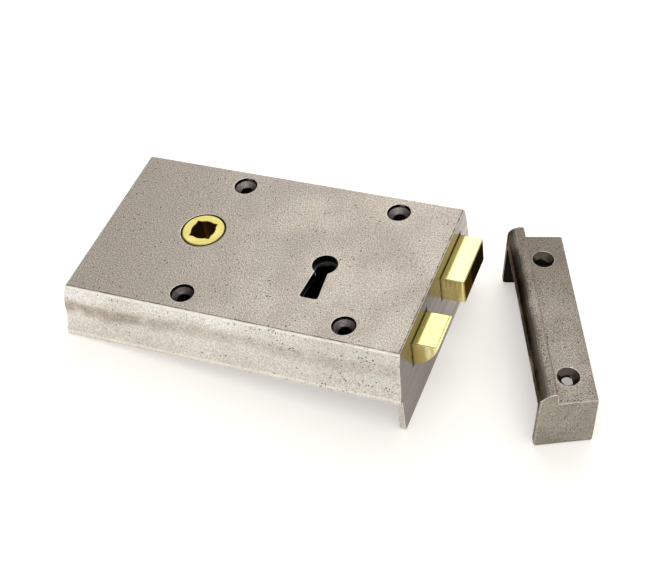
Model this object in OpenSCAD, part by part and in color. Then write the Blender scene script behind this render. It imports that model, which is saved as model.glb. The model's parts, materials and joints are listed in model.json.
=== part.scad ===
// Rim box lock for the face of a timber door, with its box keep.
//
// The lock is drawn in its own axes: x = 0 on the forend and the case runs
// towards -x, y = 0 on the centre line with the keyhole below it, z = 0 on the
// door and the face of the case on top. on_table() then lays it down on its
// back, propped up by the lip of the forend. The keep stands beside it.
// The origin is under the middle of the whole set, on the table.

/* [Case] */
// Length of the face, from the plain end to the forend
case_len = 152; // [140:1:180]
// Width of the face
case_w = 86.7; // [86:0.1:100]
// Depth of the case, from the door to the face
case_depth = 26.6; // [26:0.1:32]
// Thickness of the face
face_t = 3.6; // [3:0.1:4]
// Thickness of the side and end walls at the face
wall_t = 3.3; // [2.5:0.1:4]
// How far the moulded sides spread between the face and the door
side_flare = 4.8; // [1:0.1:6]
// How far the moulded plain end spreads between the face and the door
end_flare = 3.4; // [1:0.1:6]
// Depth of the wave in the moulding
wave = 0.45; // [0:0.05:0.8]
// Radius of the edges round the face
edge_r = 0.5; // [0.2:0.1:1]
// Radius of the moulding's foot
foot_r = 0.8; // [0.5:0.1:2]
// Radius of the foot's corners at the plain end
corner_r = 1.5; // [1:0.5:8]

/* [Forend lip] */
// How far the lip reaches below the door face of the case
lip_drop = 18.2; // [10:0.1:25]
// Thickness of the lip
lip_t = 2.6; // [2:0.1:4]
// Radius of the fillet between the lip and the case
lip_fillet = 4; // [1:0.1:6]
// How far the lip is wider than the face, on each side
lip_out = 2.6; // [0:0.1:4]

/* [Fixing screws] */
// Distance of the nearer pair of holes from the forend
fix_back = 27; // [25:0.5:35]
// Spacing of the two pairs along the case
fix_len = 73; // [66:0.5:76]
// Spacing of the two holes of a pair
fix_w = 69; // [68:0.5:72]
// Radius of the screw's hole
fix_r = 2.6; // [2:0.1:3]
// Radius of the countersink's rim
sink_r = 5.25; // [4.5:0.05:6]
// Depth of the straight wall above the countersink
sink_wall = 0.7; // [0.2:0.1:1]
// Radius of the pillars round the screws
pillar_r = 5; // [4.2:0.1:5.5]

/* [Spindle] */
// Distance of the spindle from the plain end, which leaves room for the latch spring
spindle_in = 45; // [40:0.5:47]
// Height of the spindle above the centre line
spindle_up = 3.05; // [0:0.05:6]
// Width of the square hole
spindle_sq = 9.6; // [7:0.1:9.8]
// Radius of the drilled hole that the square was cut from
spindle_drill = 5.5; // [4:0.05:5.8]
// Radius of the disc that shows in the face
disc_r = 9.4; // [9.1:0.05:10.2]
// How far the disc stands out of the face
disc_proud = 0.3; // [0:0.05:0.6]
// Bevel round the disc's edge
disc_bevel = 0.3; // [0.1:0.05:0.6]
// Radial gap round the disc
disc_gap = 0.8; // [0.2:0.05:0.9]
// Radius of the follower's barrel
barrel_r = 9; // [8.8:0.1:10]
// Radius of the journal in the back plate
journal_r = 8.4; // [7.8:0.1:8.6]
// Radius at which the horns push
horn_reach = 16.5; // [15:0.1:17]
// Radius of the horns' tips
horn_tip_r = 2.5; // [2:0.1:3]
// Thickness of the horns
horn_t = 5; // [4:0.1:7]

/* [Key] */
// Distance of the key's axis from the forend
key_back = 47; // [44:0.5:50]
// Distance of the key's axis below the centre line
key_down = 3.6; // [2:0.05:4]
// Radius of the round part of the keyhole
key_r = 5.6; // [5:0.1:6]
// Distance of the slot's end from the key's axis
slot_len = 20.1; // [17:0.1:20.4]
// Width of the slot at the key's axis
slot_w = 5.3; // [4:0.1:6]
// Width of the slot at its end
slot_end_w = 8.3; // [6:0.1:9]
// Radius of the two corners at the slot's end
slot_corner_r = 1.2; // [0.3:0.1:2]
// Inner radius of the two wards
ward_r = 4.7; // [4:0.1:5]
// Width of the wards
ward_w = 2.4; // [1.5:0.1:3]
// Height of the wards
ward_t = 1.6; // [1:0.1:2.5]
// How much wider the gap in the wards is than the slot
ward_gap = 1.4; // [0.5:0.1:2]

/* [Bolts] */
// Height of the bolts' middle above the door
bolt_mid = 13; // [12.5:0.1:15]
// Thickness of both bolts
bolt_t = 12.4; // [10:0.1:13]
// How far the dead bolt is thrown
throw = 10.5; // [9:0.1:11.5]
// Distance of the dead bolt's middle above the centre line
dead_up = 21.5; // [20:0.1:22]
// Width of the dead bolt
dead_w = 27.8; // [24:0.1:28]
// Distance of the latch bolt's middle below the centre line
latch_down = 20.9; // [20:0.1:21.5]
// Width of the latch bolt
latch_w = 19.1; // [16:0.1:20]
// How far the latch bolt's nose stands out
latch_out = 11.2; // [9:0.1:11.5]
// Radius of the nose
nose_r = 19; // [16:0.5:30]
// Width of the flat at the nose's tip
nose_flat = 0.6; // [0.2:0.1:1.5]
// Length of both bolt heads behind the forend
head_back = 9.5; // [8:0.1:10]
// Gap round the bolts in the forend
bolt_gap = 0.5; // [0.3:0.05:0.6]
// Radius of the bolt heads' edges
bolt_edge = 0.7; // [0.2:0.1:1]
// Radius of the dead bolt's end corners seen from above
bolt_corner = 1.3; // [0.4:0.1:2]

/* [Bolt tails] */
// Thickness of the tails
tail_t = 3.2; // [2.5:0.1:4]
// Width of the latch tail's bar
lane_w = 4.6; // [4:0.1:4.8]
// Length of the tails' tongues in the heads
tongue_len = 7.3; // [6:0.1:7.5]
// Radius of the rivets
rivet_r = 1.5; // [1.2:0.1:2]
// Distance of the dead bolt's stump from the forend
stump_back = 64; // [62:0.5:68]
// Radius of the stump
stump_r = 2.4; // [2:0.1:2.6]
// Width of the talon that the key enters
talon_w = 9; // [8:0.1:10]
// How deep the key bites into the talon
talon_bite = 4.8; // [4:0.1:6]
// Distance of the detent from the forend
detent_back = 46; // [42:0.5:48]
// Depth of the detent's notches
notch_d = 2; // [1:0.1:2.2]
// Width of the yoke's web behind the follower
yoke_web = 6; // [5:0.1:7]

/* [Springs] */
// Radius of the latch spring's wire
wire_r = 0.6; // [0.5:0.05:0.7]
// Mean radius of the latch spring
coil_r = 3.9; // [3.6:0.1:4.5]
// Number of turns of the latch spring
coil_turns = 8; // [6:1:9]
// Thickness of the detent's leaf
leaf_t = 0.8; // [0.6:0.1:1]
// Width of the detent's leaf
leaf_w = 5; // [4:0.1:8]
// Distance from the detent's peg to its nose
leaf_len = 20; // [18:0.5:20]
// Radius of the detent's peg
peg_r = 2; // [1.5:0.1:2.2]

/* [Back plate] */
// Thickness of the back plate
plate_t = 2; // [1.5:0.1:3]
// Gap round the back plate
plate_gap = 0.3; // [0.2:0.05:0.5]
// Radius of the bosses for the back plate's screws
boss_r = 3.5; // [3.2:0.1:4]
// Distance of the bosses at the plain end from the spindle's line
boss_out = 24; // [20:0.5:27]
// Distance of the bosses at the sides from the nearer screw holes
boss_along = 48; // [44:0.5:52]
// Radius of the back plate's screws
screw_r = 1.6; // [1.4:0.1:1.9]
// Radius of the screws' heads
screw_head_r = 3.1; // [2.8:0.1:3.4]
// Length of the screws
screw_len = 12; // [8:0.5:16]

/* [Latch guide] */
// Distance of the guide from the forend
guide_back = 65; // [64:0.5:66]
// Length of the guide along the tail
guide_len = 6; // [5:0.1:8]
// Thickness of the guide's strip
guide_t = 1.5; // [1:0.1:2]
// Width of the guide's feet
guide_foot = 5.2; // [5:0.1:6]

/* [Keep] */
// Length of the keep on the jamb side
keep_len = 91; // [85:0.5:100]
// Width of the keep at its base
keep_w = 25; // [22:0.1:30]
// How much narrower the keep is at its plate
keep_draft = 0.8; // [0:0.1:1.5]
// How far each end splays out towards the mouth
keep_splay = 1.6; // [0:0.1:3]
// Thickness of the plate
keep_plate = 3.8; // [3:0.1:4.5]
// Thickness of the end walls and of the jamb wall
keep_wall = 3; // [2:0.1:4]
// Radius of the nosing over the mouth
nosing_r = 6.3; // [5:0.1:7]
// Width of the nosing on the plate
nosing_w = 8; // [7.5:0.1:9]
// Distance of the screw holes from the mouth's side
keep_fix_in = 14; // [13.5:0.1:16]
// Spacing of the two screw holes
keep_fix = 65.3; // [60:0.1:70]
// Radius of the keep's countersinks at the rim
keep_sink_r = 4.75; // [4.2:0.05:5.2]
// How far the top of the mouth lies below the plate's face
mouth_drop = 2.8; // [2.6:0.1:3.4]

/* [Where the keep stands] */
// Distance of the keep's near corner from the forend, along the lock
keep_x = 52.9; // [40:0.1:80]
// Distance of the keep's near corner from the centre line
keep_y = -33.2; // [-50:0.1:0]
// How far the keep is turned
keep_turn = 24.1; // [0:0.1:30]

/* [Hidden] */
$fn = 64;
over = 1;
air = 0.3;
pin_gap = 0.08;
curve_steps = 16;

iron = [0.56, 0.54, 0.51];
steel = [0.62, 0.61, 0.63];
spring_steel = [0.45, 0.46, 0.5];
brass = [0.83, 0.72, 0.4];
pewter = [0.4, 0.37, 0.34];

// Case
base_len = case_len + end_flare;
base_half = case_w / 2 + side_flare;
inner_end = case_len - wall_t;
inner_half = case_w / 2 - wall_t;
inner_top = case_depth - face_t;
forend_t = lip_t + lip_fillet;

// How far the bosses run into the walls that they stand against
boss_sunk = 0.5;
boss_y = inner_half - boss_r + boss_sunk;

// Height that the moulding takes between its two rounded edges
mould_h = case_depth - foot_r - edge_r;

// How far the lock tips up when it rests on its foot and its lip
tip_run = base_len - foot_r - lip_t;
tip_rise = foot_r + lip_drop;
tilt = atan2(tip_rise, tip_run) - asin(foot_r / norm([tip_run, tip_rise]));
door_z = lip_t * sin(tilt) + lip_drop * cos(tilt);

// Follower
spindle_back = case_len - spindle_in;
spindle_x = -spindle_back;
flange_r = barrel_r + 2.5;
flange_t = 2.4;
flange_top = inner_top - air;
washer_t = 0.8;
barrel_z = plate_t + washer_t + air;
journal_hole_r = journal_r + air;
turn = 45;
horn_play = 0.8;

// Keyhole
key_x = -key_back;
key_y = -key_down;
key_reach = slot_len - 0.5;

// Bolts
bolt_z = bolt_mid - bolt_t / 2;
dead_y = dead_up - dead_w / 2;
latch_y = -latch_down - latch_w / 2;
latch_travel = horn_reach * sin(turn);

// Tails
tail_z = bolt_mid - tail_t / 2;
lane_y = -fix_w / 2 + pillar_r + 0.8;
latch_tongue_top = latch_y + latch_w - 2;
latch_shoulder = head_back + 4.5;
dead_tail_y = key_y + key_reach - talon_bite;
dead_tail_top = fix_w / 2 - pillar_r - 0.9;
dead_tail_len = stump_back + 13;
stump_y = dead_tail_top - 3.3 - stump_r - air;
talon_depth = talon_bite + 1;
rivet_x = -head_back + 3.5;
dead_rivets = [dead_tail_y + 4, dead_tail_top - 4];
latch_rivets_y = [lane_y + 3, latch_tongue_top - 3.5];

// Yoke
yoke_face = spindle_x - horn_tip_r - horn_play;
yoke_inner = spindle_x - barrel_r - 1.5;
yoke_outer = yoke_inner - yoke_web;
yoke_arm_near = barrel_r + 0.6;
yoke_arm_far = horn_reach + horn_tip_r + 1;
spigot_len = 4;
spigot_w = 3.2;

// Latch spring
spring_from = -inner_end + air + wire_r;
spring_to = yoke_outer - air - wire_r;
post_r = 2.2;

// The post stops short of the yoke's spigot when the latch is drawn back
post_len = min(6, inner_end + yoke_outer - spigot_len - latch_travel - 1);

// Detent
notch_half = 1.2 * notch_d;
nose_x = -detent_back;
peg_x = nose_x - leaf_len;
peg_y = dead_tail_top + air + leaf_t + pin_gap + peg_r;

// Back plate
boss_places = [
    [-forend_t - boss_r - 2, (dead_y + latch_y + latch_w) / 2],
    [-fix_back - boss_along, boss_y],
    [-fix_back - boss_along, -boss_y],
    [-inner_end + boss_r - boss_sunk, spindle_up + boss_out],
    [-inner_end + boss_r - boss_sunk, spindle_up - boss_out]
];
fix_places = [
    for (x = [-fix_back, -fix_back - fix_len], y = [-fix_w / 2, fix_w / 2]) [x, y]
];

// Keep
keep_h = case_depth;
keep_top_w = keep_w - keep_draft;
nosing_z = keep_h - 0.2;
mouth_z = keep_h - mouth_drop;
ceiling_z = keep_h - keep_plate;
keep_fix_places = [
    for (s = [-1, 1]) [keep_fix_in, keep_len / 2 + s * keep_fix / 2]
];

// Outline helpers

function unit(v) = v / norm(v);

function turned(v, a) = [v.x * cos(a) - v.y * sin(a), v.x * sin(a) + v.y * cos(a)];

// The arc that rounds corner p between a and b with radius r, as points
function corner_arc(a, p, b, r, n) =
    let (
        u = unit(a - p),
        v = unit(b - p),
        half = acos(u * v) / 2,
        c = p + unit(u + v) * r / sin(half),
        s = p + u * r / tan(half) - c,
        e = p + v * r / tan(half) - c,
        sweep = atan2(s.x * e.y - s.y * e.x, s * e)
    )
    [for (i = [0 : n]) c + turned(s, sweep * i / n)];

// An outline from corners given as [x, y, radius]
function rounded(corners, n = 5) =
    let (m = len(corners))
    [
        for (i = [0 : m - 1])
        let (
            c = corners[i],
            a = corners[(i + m - 1) % m],
            b = corners[(i + 1) % m],
            p = [c.x, c.y]
        )
        each (c[2] == 0 ? [p] : corner_arc([a.x, a.y], p, [b.x, b.y], c[2], n))
    ];

// A rectangle from its low and high corners with all corners rounded
function rounded_box(low, high, r) = rounded([
    [low.x, low.y, r], [high.x, low.y, r], [high.x, high.y, r], [low.x, high.y, r]
]);

// Both sides of a strip of thickness t that follows a path
function strip(path, t) =
    let (
        m = len(path),
        normals = [
            for (i = [0 : m - 1])
            let (d = unit(path[min(i + 1, m - 1)] - path[max(i - 1, 0)])) [-d.y, d.x]
        ]
    )
    concat(
        [for (i = [0 : m - 1]) path[i] + normals[i] * t / 2],
        [for (i = [m - 1 : -1 : 0]) path[i] - normals[i] * t / 2]
    );

// Case outline

function spread(d, flare) = flare * d / mould_h + wave * sin(360 * d / mould_h);

// The moulding from the face to the door, as [distance out, height]
function mould_edge(flare) = concat(
    [
        for (a = [0 : 30 : 60])
        [edge_r * (sin(a) - 1), case_depth - edge_r * (1 - cos(a))]
    ],
    [
        for (i = [0 : curve_steps])
        let (d = mould_h * i / curve_steps) [spread(d, flare), case_depth - edge_r - d]
    ],
    [
        for (a = [22.5 : 22.5 : 90])
        [flare - foot_r * (1 - cos(a)), foot_r * (1 - sin(a))]
    ]
);
side_edge = mould_edge(side_flare);
end_edge = mould_edge(end_flare);

side_section = concat(
    [for (p = side_edge) [case_w / 2 + p.x, p.y]],
    [for (i = [len(side_edge) - 1 : -1 : 0]) [-case_w / 2 - side_edge[i].x, side_edge[i].y]]
);

end_section = concat(
    [for (p = end_edge) [-case_len - p.x, p.y]],
    [[0, 0], [0, case_depth]]
);

lip_section = concat(
    [[0, over], [0, -lip_drop], [-lip_t, -lip_drop]],
    [
        for (a = [0 : 15 : 90])
        [-forend_t + lip_fillet * cos(a), lip_fillet * (sin(a) - 1)]
    ],
    [[-forend_t, over]]
);

// Keep outline

keep_plan = rounded([
    [0, -keep_splay, 1], [keep_w, 0, 1.2],
    [keep_w, keep_len, 2], [0, keep_len + keep_splay, 1]
]);

// The keep's section across its length, with the nosing over the mouth
nosing_x = nosing_r - 0.4;
keep_section = concat(
    [[1.4, 0], [0.4, 0.4], [0, 1.4], [-0.4, nosing_z]],
    [
        for (a = [0 : 10 : 80])
        [nosing_x - nosing_r * cos(a), nosing_z + nosing_r * sin(a)]
    ],
    rounded([
        [nosing_x - 0.2, nosing_z + nosing_r, 0],
        [nosing_w - 1, nosing_z + nosing_r, 0.9],
        [nosing_w - 0.1, keep_h, 0.6],
        [keep_top_w, keep_h, 0.6],
        [keep_w, 0, 0]
    ], 4)
);

// Middle of the whole set, which the origin is under
function on_keep(p) = [keep_x, keep_y] + turned(p, keep_turn);
left_x = min([for (p = end_section) p.x * cos(tilt) - p.y * sin(tilt)]);
right_x = max([for (p = keep_plan) on_keep(p).x]);
back_y = max(base_half, max([for (p = keep_plan) on_keep(p).y]));
front_y = -base_half;
middle = [(left_x + right_x) / 2, (front_y + back_y) / 2];

// Placing

module on_table() {
    translate([-middle.x, -middle.y, door_z]) rotate([0, -tilt, 0]) children();
}

module beside_lock() {
    translate([keep_x - middle.x, keep_y - middle.y, 0])
        rotate([0, 0, keep_turn]) children();
}

// Extrudes an outline in x and z along y, centred
module along_y(w) {
    rotate([90, 0, 0]) linear_extrude(w, center = true) children();
}

// Extrudes an outline in y and z along x
module along_x(from, to) {
    translate([from, 0, 0]) rotate([90, 0, 90]) linear_extrude(to - from) children();
}

module at_height(z, h) {
    translate([0, 0, z]) linear_extrude(h) children();
}

module rod_z(at, r, z, h) {
    translate([at.x, at.y, z]) cylinder(h = h, r = r);
}

// A hole with a straight-sided countersink that opens upwards at z = 0
module countersunk_hole(hole_r, rim_r, wall, depth) {
    cone = rim_r - hole_r;
    translate([0, 0, -depth]) cylinder(h = depth + over, r = hole_r);
    translate([0, 0, -wall - cone]) cylinder(h = cone, r1 = hole_r, r2 = rim_r);
    translate([0, 0, -wall]) cylinder(h = wall + over, r = rim_r);
}

module keyhole_outline() {
    circle(r = key_r);
    polygon(rounded([
        [-slot_w / 2, 0, 0],
        [-slot_end_w / 2, -slot_len, slot_corner_r],
        [slot_end_w / 2, -slot_len, slot_corner_r],
        [slot_w / 2, 0, 0]
    ]));
}

// Case

module moulded_block() {
    intersection() {
        at_height(-over, case_depth + 2 * over) polygon(rounded([
            [0, -base_half, 0], [0, base_half, 0],
            [-base_len, base_half, corner_r], [-base_len, -base_half, corner_r]
        ]));
        along_x(-base_len - over, 0) polygon(side_section);
        along_y(2 * base_half + 2 * over) polygon(end_section);
    }
}

module lip() {
    half = case_w / 2 + lip_out;
    intersection() {
        along_y(2 * half) polygon(lip_section);
        along_x(-forend_t - over, over)
            polygon(rounded_box([-half, -lip_drop], [half, case_depth], 1.2));
    }
}

module hollow() {
    translate([-inner_end, -inner_half, -over])
        cube([inner_end - forend_t, 2 * inner_half, inner_top + over]);
}

module bolt_mouth(low_y, w) {
    translate([-forend_t - over, low_y - bolt_gap, bolt_z - bolt_gap])
        cube([forend_t + 2 * over, w + 2 * bolt_gap, bolt_t + 2 * bolt_gap]);
}

module case() {
    color(iron) on_table() difference() {
        union() {
            difference() {
                moulded_block();
                hollow();
            }
            lip();
            for (p = fix_places) rod_z(p, pillar_r, plate_t, inner_top - plate_t + over);
            for (p = boss_places) rod_z(p, boss_r, plate_t, inner_top - plate_t + over);
        }
        for (p = fix_places)
            translate([p.x, p.y, case_depth])
                countersunk_hole(fix_r, sink_r, sink_wall, case_depth + over);
        for (p = boss_places)
            rod_z(p, screw_r + pin_gap, plate_t - over, screw_len + over);
        for (y = guide_screws_y)
            rod_z([-guide_back, y], guide_screw_r + pin_gap, inner_top - over, over + 2.4);
        translate([0, spindle_up, 0])
            rod_z([spindle_x, 0], disc_r + disc_gap, inner_top - over, face_t + 2 * over);
        translate([key_x, key_y, 0]) at_height(inner_top - over, face_t + 2 * over)
            keyhole_outline();
        bolt_mouth(dead_y, dead_w);
        bolt_mouth(latch_y, latch_w);
    }
}

// Back plate, let into the back of the case

module back_plate() {
    color(steel) on_table() difference() {
        at_height(0, plate_t) polygon(rounded_box(
            [-inner_end + plate_gap, -inner_half + plate_gap],
            [-forend_t - plate_gap, inner_half - plate_gap], 0.8
        ));
        for (p = fix_places) rod_z(p, fix_r, -over, plate_t + 2 * over);
        for (p = boss_places) translate([p.x, p.y, 0]) mirror([0, 0, 1])
            countersunk_hole(screw_r + pin_gap, screw_head_r + pin_gap, 0.2, plate_t + over);
        rod_z([spindle_x, spindle_up], journal_hole_r, -over, plate_t + 2 * over);
        translate([key_x, key_y, 0]) at_height(-over, plate_t + 2 * over)
            keyhole_outline();
    }
}

// A countersunk screw that points up from z = 0, with a driver slot in its head
module back_plate_screw() {
    cone = screw_head_r - screw_r;
    difference() {
        union() {
            cylinder(h = screw_len, r = screw_r);
            cylinder(h = 0.2, r = screw_head_r);
            translate([0, 0, 0.2]) cylinder(h = cone, r1 = screw_head_r, r2 = screw_r);
        }
        translate([-screw_head_r - over, -0.4, -over])
            cube([2 * (screw_head_r + over), 0.8, over + 0.9]);
    }
}

module back_plate_screws() {
    color(steel) on_table()
        for (p = boss_places) translate([p.x, p.y, 0]) back_plate_screw();
}

// The wards, rings round the keyhole that stand up inside the case

module ward(z) {
    translate([key_x, key_y, z]) linear_extrude(ward_t) difference() {
        circle(r = ward_r + ward_w);
        circle(r = ward_r);
        translate([-(slot_w + ward_gap) / 2, -ward_r - ward_w - over])
            square([slot_w + ward_gap, ward_r + ward_w + over]);
    }
}

module keyhole_ward_front() {
    color(steel) on_table() ward(inner_top - ward_t);
}

module keyhole_ward_rear() {
    color(steel) on_table() ward(plate_t);
}

// Follower, the piece that the spindle turns

module horn(side) {
    translate([spindle_x - horn_tip_r, side > 0 ? spindle_up : spindle_up - horn_reach,
        bolt_mid - horn_t / 2]) cube([2 * horn_tip_r, horn_reach, horn_t]);
    rod_z([spindle_x, spindle_up + side * horn_reach], horn_tip_r,
        bolt_mid - horn_t / 2, horn_t);
}

module follower() {
    axis = [spindle_x, spindle_up];
    disc_rim = case_depth + disc_proud - disc_bevel;
    color(brass) on_table() difference() {
        union() {
            rod_z(axis, journal_r, air, barrel_z - air + over);
            rod_z(axis, barrel_r, barrel_z, flange_top - barrel_z);
            rod_z(axis, flange_r, flange_top - flange_t, flange_t);
            rod_z(axis, disc_r, flange_top - over, disc_rim - flange_top + over);
            translate([spindle_x, spindle_up, disc_rim])
                cylinder(h = disc_bevel, r1 = disc_r, r2 = disc_r - disc_bevel);
            horn(1);
            horn(-1);
        }
        rod_z(axis, spindle_drill, -over, case_depth + 2 * over);
        translate([spindle_x, spindle_up, case_depth / 2])
            cube([spindle_sq, spindle_sq, case_depth + 4 * over], center = true);
    }
}

module follower_washer() {
    color(steel) on_table() difference() {
        rod_z([spindle_x, spindle_up], flange_r, plate_t, washer_t);
        rod_z([spindle_x, spindle_up], journal_hole_r, plate_t - over, washer_t + 2 * over);
    }
}

// Bolt heads, drawn along y from their section in x and z

module tongue_pocket(low_y, high_y) {
    translate([-head_back - over, low_y - pin_gap, tail_z - pin_gap])
        cube([tongue_len + pin_gap + over, high_y - low_y + 2 * pin_gap,
            tail_t + 2 * pin_gap]);
}

module rivets(places, r, grow = 0) {
    for (y = places) rod_z([rivet_x, y], r, bolt_z - grow, bolt_t + 2 * grow);
}

// The nose curves from its tip to the bolt's underside at the forend
nose_tip = [latch_out, bolt_z + bolt_t - nose_flat];
nose_root = [nose_flat, bolt_z];
nose_chord = nose_root - nose_tip;
nose_mid = (nose_root + nose_tip) / 2;
nose_sag = sqrt(nose_r * nose_r - nose_chord * nose_chord / 4);
nose_centre = nose_mid + unit([nose_chord.y, -nose_chord.x]) * nose_sag;
nose_angle = atan2(nose_tip.y - nose_centre.y, nose_tip.x - nose_centre.x);
nose_sweep = 2 * asin(norm(nose_chord) / 2 / nose_r);

latch_section = concat(
    rounded([
        [-head_back, bolt_z, 0],
        [-head_back, bolt_z + bolt_t, 0],
        [latch_out, bolt_z + bolt_t, 0.3]
    ], 3),
    [
        for (i = [0 : 12])
        nose_centre + nose_r * [
            cos(nose_angle - nose_sweep * i / 12), sin(nose_angle - nose_sweep * i / 12)
        ]
    ]
);

module latch_head() {
    color(brass) on_table() difference() {
        intersection() {
            translate([0, latch_y + latch_w / 2, 0]) along_y(latch_w)
                polygon(latch_section);
            along_x(-head_back - over, latch_out + over) polygon(rounded_box(
                [latch_y, bolt_z - over], [latch_y + latch_w, bolt_z + bolt_t], bolt_edge
            ));
        }
        tongue_pocket(lane_y, latch_tongue_top);
        rivets(latch_rivets_y, rivet_r + pin_gap, over);
    }
}

module dead_bolt_head() {
    color(brass) on_table() difference() {
        intersection() {
            along_x(-head_back, throw) polygon(rounded_box(
                [dead_y, bolt_z], [dead_y + dead_w, bolt_z + bolt_t], bolt_edge
            ));
            at_height(bolt_z - over, bolt_t + 2 * over) polygon(rounded([
                [-head_back, dead_y, 0], [-head_back, dead_y + dead_w, 0],
                [throw, dead_y + dead_w, bolt_corner], [throw, dead_y, bolt_corner]
            ]));
            translate([0, dead_up, 0]) along_y(dead_w + 2 * over) polygon(rounded([
                [-head_back, bolt_z, 0], [-head_back, bolt_z + bolt_t, 0],
                [throw, bolt_z + bolt_t, bolt_edge], [throw, bolt_z, bolt_edge]
            ]));
        }
        tongue_pocket(dead_tail_y, dead_tail_top);
        rivets(dead_rivets, rivet_r + pin_gap, over);
    }
}

module latch_rivets() {
    color(brass) on_table() rivets(latch_rivets_y, rivet_r);
}

module dead_bolt_rivets() {
    color(brass) on_table() rivets(dead_rivets, rivet_r);
}

// Tails, cut from plate

tongue_x = -head_back + tongue_len;

latch_tail_outline = rounded([
    [tongue_x, lane_y, 0.5],
    [tongue_x, latch_tongue_top, 0.5],
    [-latch_shoulder, latch_tongue_top, 1.5],
    [-latch_shoulder, lane_y + lane_w, 1.5],
    [yoke_face, lane_y + lane_w, 1],
    [yoke_face, spindle_up - yoke_arm_near, 1],
    [yoke_inner, spindle_up - yoke_arm_near, 1.5],
    [yoke_inner, spindle_up + yoke_arm_near, 1.5],
    [yoke_face, spindle_up + yoke_arm_near, 1],
    [yoke_face, spindle_up + yoke_arm_far, 1.5],
    [yoke_outer, spindle_up + yoke_arm_far, 3],
    [yoke_outer, spindle_up + spigot_w / 2, 0.3],
    [yoke_outer - spigot_len, spindle_up + spigot_w / 2, 0.5],
    [yoke_outer - spigot_len, spindle_up - spigot_w / 2, 0.5],
    [yoke_outer, spindle_up - spigot_w / 2, 0.3],
    [yoke_outer, lane_y, 3]
]);

module latch_tail() {
    color(steel) on_table() difference() {
        at_height(tail_z, tail_t) polygon(latch_tail_outline);
        rivets(latch_rivets_y, rivet_r + pin_gap);
    }
}

// Where the talon stands when the bolt is thrown
talon_x = key_x + throw / 2;

dead_tail_outline = rounded([
    [tongue_x, dead_tail_y, 0.5],
    [tongue_x, dead_tail_top, 0.5],
    [nose_x + throw + notch_half, dead_tail_top, 0],
    [nose_x + throw, dead_tail_top - notch_d, 0.3],
    [nose_x + throw - notch_half, dead_tail_top, 0],
    [nose_x + notch_half, dead_tail_top, 0],
    [nose_x, dead_tail_top - notch_d, 0.3],
    [nose_x - notch_half, dead_tail_top, 0],
    [-dead_tail_len, dead_tail_top, 3],
    [-dead_tail_len, dead_tail_y, 3],
    [talon_x - talon_w / 2, dead_tail_y, 0.6],
    [talon_x - talon_w / 2 + 0.8, dead_tail_y + talon_depth, 1],
    [talon_x + talon_w / 2 - 0.8, dead_tail_y + talon_depth, 1],
    [talon_x + talon_w / 2, dead_tail_y, 0.6]
]);

module dead_bolt_tail() {
    slot_half = stump_r + air;
    color(steel) on_table() difference() {
        at_height(tail_z, tail_t) polygon(dead_tail_outline);
        rivets(dead_rivets, rivet_r + pin_gap);
        rod_z([-stump_back, stump_y], slot_half, tail_z - over, tail_t + 2 * over);
        rod_z([-stump_back + throw, stump_y], slot_half, tail_z - over, tail_t + 2 * over);
        translate([-stump_back, stump_y - slot_half, tail_z - over])
            cube([throw, 2 * slot_half, tail_t + 2 * over]);
    }
}

// The stump that guides the dead bolt's tail stands between plate and face
module dead_bolt_stump() {
    color(steel) on_table()
        rod_z([-stump_back, stump_y], stump_r, plate_t, inner_top - plate_t);
}

// Guide for the latch tail, a bent strip screwed to the inside of the face

guide_screw_r = 1.3;
guide_leg_low = lane_y - air - guide_t;
guide_leg_high = lane_y + lane_w + air + guide_t;
guide_screws_y = [guide_leg_low - guide_foot / 2, guide_leg_high + guide_foot / 2];

module latch_guide() {
    bridge_z = tail_z - air - guide_t;
    foot_z = inner_top - guide_t;
    color(steel) on_table() difference() {
        along_x(-guide_back - guide_len / 2, -guide_back + guide_len / 2) polygon(rounded([
            [guide_leg_low - guide_foot, inner_top, 0],
            [guide_leg_low - guide_foot, foot_z, 0],
            [guide_leg_low, foot_z, 0.4],
            [guide_leg_low, bridge_z, 1.5],
            [guide_leg_high, bridge_z, 1.5],
            [guide_leg_high, foot_z, 0.4],
            [guide_leg_high + guide_foot, foot_z, 0],
            [guide_leg_high + guide_foot, inner_top, 0],
            [guide_leg_high - guide_t, inner_top, 1.5],
            [guide_leg_high - guide_t, bridge_z + guide_t, 0.2],
            [guide_leg_low + guide_t, bridge_z + guide_t, 0.2],
            [guide_leg_low + guide_t, inner_top, 1.5]
        ]));
        for (y = guide_screws_y)
            rod_z([-guide_back, y], guide_screw_r + pin_gap, foot_z - over, guide_t + 2 * over);
    }
}

module latch_guide_screws() {
    head_h = 1.6;
    color(steel) on_table() for (y = guide_screws_y) difference() {
        union() {
            rod_z([-guide_back, y], 2.3, inner_top - guide_t - head_h, head_h);
            rod_z([-guide_back, y], guide_screw_r, inner_top - guide_t - 0.5, guide_t + 2.7);
        }
        translate([-guide_back - 3, y - 0.35, inner_top - guide_t - head_h - over])
            cube([6, 0.7, over + 0.8]);
    }
}

// Latch spring, one unbroken coil between the end wall and the yoke

coil_sides = 6;
coil_rings_per_turn = 8;
coil_last = coil_turns * coil_rings_per_turn;
coil_points = [
    for (i = [0 : coil_last])
    let (a = 360 * i / coil_rings_per_turn)
    [
        spring_from + (spring_to - spring_from) * i / coil_last,
        spindle_up + coil_r * cos(a),
        bolt_mid + coil_r * sin(a)
    ]
];

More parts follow.
